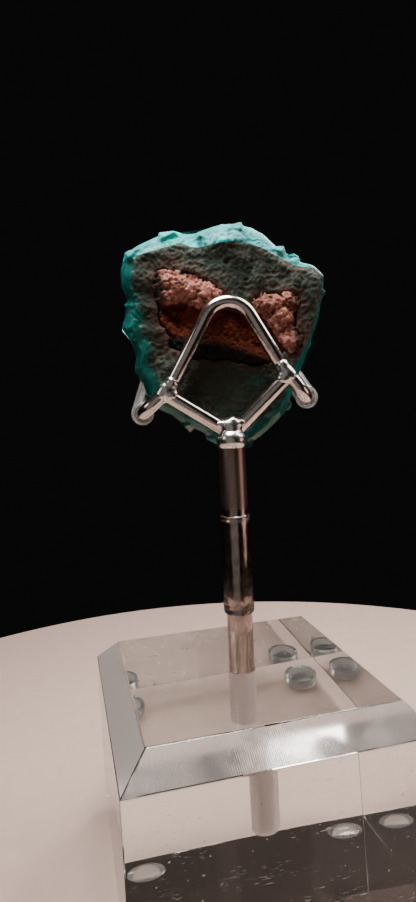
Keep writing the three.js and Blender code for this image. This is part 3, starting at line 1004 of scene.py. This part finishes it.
matrix_faces = BVHTree.FromObject(nodes["matrix"], bpy.context.evaluated_depsgraph_get())
group_of(plate, "rough", back_roughness)
steps = relief_texture("broad_steps", "VORONOI", 2.2, distance_metric="MANHATTAN")
ridges = relief_texture("split_ridges", "MUSGRAVE", 0.6, musgrave_type="RIDGED_MULTIFRACTAL", octaves=5)
crumbs = relief_texture("fine_crumbs", "CLOUDS", 0.34, noise_depth=3)
smooth_back = relief_before(plate)
push(plate, steps, STEP_DEPTH, "rough")
push(plate, ridges, RIDGE_DEPTH, "rough", 0.8)
push(plate, crumbs, CRUMB_DEPTH, "rough")
paint_relief(plate, smooth_back, FULL_RELIEF)
for name, share in (("calm", calm_share), ("rust", rust_share), ("teal", teal_share),
                    ("band", band_share), ("aqua", aqua_share)):
    paint(plate, name, values_of(plate, share))
smooth(plate, 180)
print("plate triangles", triangles(plate))

# %% [markdown]
# The front is cut from the same solid, and its small flats are merged into whole crystal faces
# with crisp, slightly bevelled edges. Between the big crystals sits a crowd of little ones. One is
# made: a six-sided prism whose end is cut by three sloping faces, as dioptase grows. Rays that
# are sent at the crust find where copies of it stand.

# %% Crystal front of the stone
CRUST_BACK = 3.3
crust = merged_copy("dioptase", "dioptase_crystals")
cut_across(crust, CRUST_BACK, keep_back=False)
modify(crust, "DECIMATE", decimate_type="DISSOLVE", angle_limit=math.radians(1.5))
bevel_edges(crust, 0.04 * MM, 1, 20)
crust_faces = BVHTree.FromObject(crust, bpy.context.evaluated_depsgraph_get())
print("crust triangles", triangles(crust))

# %% One small crystal
PRISM_LENGTH = 4
END_SLOPE = math.radians(48)
small_crystal = cylinder("small_crystal", MM, PRISM_LENGTH * MM, (0, 0, 0), 6)
for third in range(3):
    edge = math.radians(90 + 120 * third)
    facing = Vector((math.cos(edge) * math.sin(END_SLOPE), math.sin(edge) * math.sin(END_SLOPE),
                     math.cos(END_SLOPE)))
    edit(small_crystal, "VERT")
    bpy.ops.mesh.bisect(plane_co=(0, 0, PRISM_LENGTH / 2 * MM), plane_no=facing,
                        use_fill=True, clear_outer=True)
deselect_all()
print("faces of one small crystal", len(small_crystal.data.polygons))

# %% The crowd of small crystals
SMALL_COUNT = 420
SMALL_RADII = (0.28, 0.7)
# Each crystal's length for its radius, how deep it is set and how far it may lean
SMALL_LENGTHS = (1.5, 2.6)
SMALL_DEPTH = 0.6
SMALL_LEAN = 0.4
# Its prism is longer than what shows, so that its root stays inside the crust
ROOTED = 1.5
CROWD_REACH = 13.5
CROWD_TOP = 75
RAYS_FROM = 14
SLEEVE_CLEARANCE = 2.5
SLEEVE_SHARES = (0.0, 0.25, 0.5, 0.75, 1.0, 1.15)
chance = random.Random(29)


def near_sleeve(point):
    for corners in ARMS.values():
        far, tip = Vector(corners[3]), Vector(corners[4])
        for share in SLEEVE_SHARES:
            if (point - far.lerp(tip, share)).length < SLEEVE_CLEARANCE:
                return True
    return False


def grow_crystal(root, normal, radius, length):
    lean = Vector([chance.uniform(-SMALL_LEAN, SMALL_LEAN) for _ in range(3)])
    axis = (normal + lean).normalized()
    turn = axis.to_track_quat("Z", "Y") @ Quaternion((0, 0, 1), chance.uniform(0, 2))
    size = Matrix.Diagonal((radius, radius, length / PRISM_LENGTH * ROOTED, 1))
    crystal = small_crystal.copy()
    crystal.data = small_crystal.data.copy()
    crystal.matrix_world = Matrix.Translation(root * MM) @ turn.to_matrix().to_4x4() @ size
    bpy.context.collection.objects.link(crystal)
    return crystal


crowd = []
while len(crowd) < SMALL_COUNT:
    angle, distance = chance.uniform(0, 360), CROWD_REACH * math.sqrt(chance.uniform(0, 1))
    x = STONE_MIDDLE[0] + distance * math.cos(math.radians(angle))
    z = STONE_MIDDLE[1] + distance * math.sin(math.radians(angle))
    start = HOLDER @ (Vector((x, RAYS_FROM, z)) * MM)
    hit, normal, _, _ = crust_faces.ray_cast(start, HOLDER.to_3x3() @ Vector((0, -1, 0)))
    if hit is None:
        continue
    hit, normal = TO_HOLDER @ hit / MM, TURN_TO_HOLDER @ normal
    radius = chance.uniform(*SMALL_RADII)
    if near_sleeve(hit) or hit.z > CROWD_TOP - radius:
        continue
    forward = (normal + Vector((0, 0.8, 0))).normalized()
    root = hit - forward * radius * SMALL_DEPTH
    crowd.append(grow_crystal(root, forward, radius, radius * chance.uniform(*SMALL_LENGTHS)))
join(crowd)
crowd = named("small_crystals")
bake_place(crowd)
hang(crowd)
bpy.data.objects.remove(small_crystal)
print("small crystals", SMALL_COUNT, "triangles", triangles(crowd))

# %% [markdown]
# Dioptase is clear, deep blue-green and bends light strongly. The glass shader with the mineral's
# own refraction, and a volume that takes out red light, give thin edges a bright teal and thick
# crystals a deep green. The back mixes this with a dull stained skin that has painted shade and painted
# highlights, by the painted values.

# %% Finishes of the stone
DIOPTASE_IOR = 1.66
ABSORBED = 3000
STAIN_TONES = [(0.32, (0.009, 0.025, 0.017)), (0.45, (0.025, 0.025, 0.016)),
               (0.56, (0.013, 0.029, 0.02)), (0.68, (0.036, 0.023, 0.015))]
LIT_TONES = [(0.36, (0.002, 0.13, 0.12)), (0.47, (0.016, 0.25, 0.25)), (0.62, (0.095, 0.36, 0.37))]


def clear_dioptase(finish, normal, roughness):
    return finish.glass(colour(0.25, 0.9, 0.8), roughness, DIOPTASE_IOR, normal)


def veiled_dioptase(finish, normal, roughness):
    """Crystal full of tiny cracks, which scatter the light and glow teal where it is thin."""
    return finish.surface(base_color=colour(0.0005, 0.15, 0.125), roughness=roughness,
                          ior=DIOPTASE_IOR, specular_ior_level=0.15, subsurface_weight=0.8,
                          subsurface_radius=(0.1, 0.9, 0.8), subsurface_scale=1.6 * MM, normal=normal)


def absorbing(finish):
    return finish.node("ShaderNodeVolumeAbsorption", None,
                       {"Color": colour(0.02, 0.9, 0.85), "Density": ABSORBED})


def crystal_finish():
    finish = Finish("dioptase_crystal")
    growth = finish.noise(finish.place((1, 1, 3)), 1.5, 4.0)
    veils = finish.noise(finish.place(), 0.5, 5.0, 0.6).between(0.5, 0.75)
    normal = finish.bump(growth, 0.4, 0.1)
    clear = clear_dioptase(finish, normal, 0.03 + 0.1 * growth)
    veiled = veiled_dioptase(finish, normal, 0.15 + 0.1 * growth)
    return finish.done(finish.blended(0.3 + 0.35 * veils, clear, veiled), absorbing(finish))


def back_finish():
    finish = Finish("weathered_dioptase")
    at = finish.place()
    patches = finish.noise(at, 0.3, 5.0, 0.6)
    grain = finish.noise(at, 1.8, 6.0, 0.7)
    splits = finish.noise(finish.place((0.45, 1, 2), (0, 24, 0)), 1.4, 6.0, 0.7)
    relief = finish.painted("relief")
    calm = finish.painted("calm")
    stains = finish.ramp(patches, STAIN_TONES)
    rust = (finish.painted("rust") + 0.8 * (patches - 0.5) + 0.5 * (grain - 0.5)).between(0.35, 0.9)
    rusty = finish.mix(0.6 * rust, stains, colour(0.085, 0.03, 0.02))
    # Pale streaks along the splits and fibres, partly painted highlights: raised parts of the relief are
    # paler
    spread = finish.noise(at, 0.2, 3.0).between(0.42, 0.6)
    pale = (0.7 * splits + 0.6 * relief + 0.3 * grain).between(0.87, 1.15) * (0.25 + 0.75 * spread)
    fibres = finish.noise(finish.place((0.5, 1, 1.8), (0, 20, 0)), 4.5, 5.0, 0.7)
    threads = 0.5 * fibres.between(0.55, 0.68) * (0.3 + 0.7 * spread)
    light = (0.55 * pale + threads) * (1 - 0.85 * calm)
    streaks_and_highlights = finish.mix(light.limited(), rusty, colour(0.16, 0.165, 0.13))
    # Painted shade: the deep parts of the relief and the calm patch are darkened
    low = relief.between(0.5, 0.2)
    painted_shade = (0.4 * low + 0.85 * calm).limited()
    skin = finish.mix(painted_shade, streaks_and_highlights, colour(0.016, 0.018, 0.011))
    # The upper slope's pale turquoise crust, made brighter as painted light from above, with raised grains
    # paler as painted highlights
    pale_lit = finish.ramp(0.55 * grain + 0.45 * relief, LIT_TONES)
    aqua = (finish.painted("aqua") + 0.4 * (grain - 0.5)).between(0.3, 0.6)
    lit = finish.mix(0.9 * aqua, pale_lit, colour(0.005, 0.58, 0.52))
    band = (finish.painted("band") + 0.5 * (grain - 0.5)).between(0.4, 0.6)
    tone = finish.mix(band, skin, lit)
    normal = finish.bump(0.4 * grain + 0.4 * splits + 0.4 * fibres, 0.5, 0.17)
    teal = (finish.painted("teal") + 0.45 * (patches - 0.5) + 0.2 * (grain - 0.5)).between(0.42, 0.6)
    dull = finish.surface(base_color=tone, roughness=0.55 + 0.3 * grain, specular_ior_level=0.2,
                          normal=normal)
    clear = clear_dioptase(finish, normal, 0.12)
    glowing = finish.blended(0.65, clear, veiled_dioptase(finish, normal, 0.3))
    return finish.done(finish.blended(teal * (1 - 0.8 * band), dull, glowing), absorbing(finish))


plate.data.materials.append(back_finish())
crystal_green = crystal_finish()
for piece in (crust, crowd):
    piece.data.materials.append(crystal_green)
for piece in (plate, crust, crowd):
    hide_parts("dioptase")
    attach(piece, "root")

# %% [markdown]
# The rock that the crystals grew on is soft and earthy. It crumbles into ledges, which catch the
# light from above, over a hollow whose dark red is partly a stain and partly painted shade. The
# solid is remeshed and pushed out a little into its pocket, and then textures of four sizes break its
# surface into crumbs.

# %% Matrix
MATRIX_VOXEL = 0.115
HOLLOW_DEPTH = 0.8
# Edges of the hollow under the ledges, from left to right: top, foot, and end of the stain, below which
# the rock gets a near-black painted shade
HOLLOW_TOP = ((-7.7, 64.5), (-6.9, 67.3), (-5, 67.65), (-2.8, 66.7), (0, 66.4), (2.2, 66.8),
              (4.3, 65.9), (5.7, 63.9), (6.7, 62.2), (8, 61))
HOLLOW_FOOT = ((-7, 65.5), (-5, 63.4), (-3, 62.6), (0, 62), (3, 61.2), (5, 60.2), (8, 60))
STAIN_FOOT = ((-8, 63.9), (-3, 63.3), (0.3, 62.4), (3.3, 61.1), (8, 59.8))
# Heights over which the hollow's colour, its depth and the change from its stain to the near-black painted
# shade fade
HOLLOW_FADE, HOLLOW_SLOPE, STAIN_FADE = 0.9, 1.6, 2
# The ledges stand out this far from the back of the stone; what lies deeper has the stone's skin
LEDGE_FRONT = 1.25
LEDGE_BACK = 2.1
LEDGE_LEFT = -6.1
LEDGE_RIGHT = 7.1
LEDGE_FADE = 1.8
# Depths of the four textures, and the depth at which the painted relief is full
LUMP_DEPTH, CLOD_DEPTH, ROCK_CRUMB_DEPTH, GRAIN_DEPTH = 0.8, 0.3, 0.4, 0.16
FULL_ROCK_RELIEF = 0.35
SWELLING = 0.14
DRY_TONES = [(0.3, (0.11, 0.036, 0.024)), (0.48, (0.37, 0.15, 0.115)), (0.66, (0.48, 0.235, 0.19))]
STAIN_AND_SHADE_TONES = [(0.3, (0.06, 0.011, 0.004)), (0.5, (0.12, 0.023, 0.009)), (0.7, (0.15, 0.036, 0.018))]
SUNK_TONES = [(0.4, (0.012, 0.016, 0.011)), (0.6, (0.07, 0.03, 0.02))]


def matrix_growth(point, normal):
    return 0.25 if normal.y < -0.35 else 1.0


def hollow_share(point, normal):
    below = along(HOLLOW_TOP, point.x) - point.z
    return clamped(0.5 + below / HOLLOW_FADE)


def hollow_front(point, normal):
    above_foot = point.z - along(HOLLOW_FOOT, point.x)
    sink = clamped(above_foot / HOLLOW_SLOPE)
    return sink * hollow_share(point, normal) if normal.y < 0.3 else 0.0


def foot_shade_share(point, normal):
    return clamped(0.5 + (along(STAIN_FOOT, point.x) - point.z) / STAIN_FADE)


def sunk_share(point, normal):
    sunk = (point.y - LEDGE_FRONT) / (LEDGE_BACK - LEDGE_FRONT)
    beside = max(LEDGE_LEFT - point.x, point.x - LEDGE_RIGHT) / LEDGE_FADE
    return clamped(max(sunk, beside))


def matrix_finish():
    finish = Finish("crumbly_matrix")
    at = finish.place()
    crumbs = finish.noise(at, 2.6, 6.0, 0.7)
    patches = finish.noise(at, 0.6, 4.0)
    pits = finish.cells(at, 2.2).between(0.1, 0.5)
    relief = finish.painted("relief")
    hollow = (finish.painted("hollow") + 0.5 * (patches - 0.5)).between(0.35, 0.65)
    uneven = 0.9 * (crumbs - 0.5) + 0.5 * (patches - 0.5)
    sunk = (finish.painted("sunk") * (1 - hollow) + uneven).between(0.3, 0.6)
    foot = (finish.painted("foot") + 0.4 * uneven).between(0.25, 0.75)
    # Raised crumbs are paler and deep ones darker in these ramps: painted light and shade on the rock's
    # relief
    dry = finish.ramp(0.5 * relief + 0.25 * patches + 0.25 * crumbs, DRY_TONES)
    # The hollow's dark red: partly a stain, partly painted shade under the ledges
    stain_and_shade = finish.ramp(0.5 * crumbs + 0.5 * relief, STAIN_AND_SHADE_TONES)
    skin = finish.ramp(crumbs, SUNK_TONES)
    rock = finish.mix(sunk, finish.mix(hollow, dry, stain_and_shade), skin)
    # Below the stain's end the rock gets a near-black painted shade
    tone = finish.mix(foot, rock, colour(0.01, 0.008, 0.005))
    normal = finish.bump(crumbs + 0.5 * pits, 0.8, 0.25)
    return finish.done(finish.surface(base_color=tone, roughness=0.88 + 0.08 * crumbs,
                                      specular_ior_level=0.2, normal=normal))


matrix = merged_copy("matrix", "crumbly_matrix_rock")
modify(matrix, "REMESH", mode="VOXEL", voxel_size=MATRIX_VOXEL * MM)
group_of(matrix, "growing", matrix_growth)
group_of(matrix, "hollow_front", hollow_front)
for name, share in (("hollow", hollow_share), ("sunk", sunk_share), ("foot", foot_shade_share)):
    paint(matrix, name, values_of(matrix, share))
modify(matrix, "DISPLACE", strength=HOLLOW_DEPTH * MM, mid_level=0, direction="Y",
       vertex_group="hollow_front")
push(matrix, None, SWELLING, "growing", 0.0)
lumps = relief_texture("rock_lumps", "CLOUDS", 1.3, noise_depth=4)
clods = relief_texture("rock_clods", "VORONOI", 0.8)
grains = relief_texture("rock_grains", "VORONOI", 0.36)
smooth_rock = relief_before(matrix)
push(matrix, lumps, LUMP_DEPTH, "growing", 0.2)
push(matrix, clods, -CLOD_DEPTH)
push(matrix, crumbs, ROCK_CRUMB_DEPTH)
push(matrix, grains, -GRAIN_DEPTH)
paint_relief(matrix, smooth_rock, FULL_ROCK_RELIEF)
smooth(matrix, 180)
matrix.data.materials.append(matrix_finish())
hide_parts("matrix")
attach(matrix, "root")
print("matrix triangles", triangles(matrix))

# %% Sizes
look_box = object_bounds()
for axis, low, high in zip("XYZ", look_box[0] - cad_box[0], look_box[1] - cad_box[1]):
    print(axis, "low and high differ in mm by", round(low / MM, 3), round(high / MM, 3))
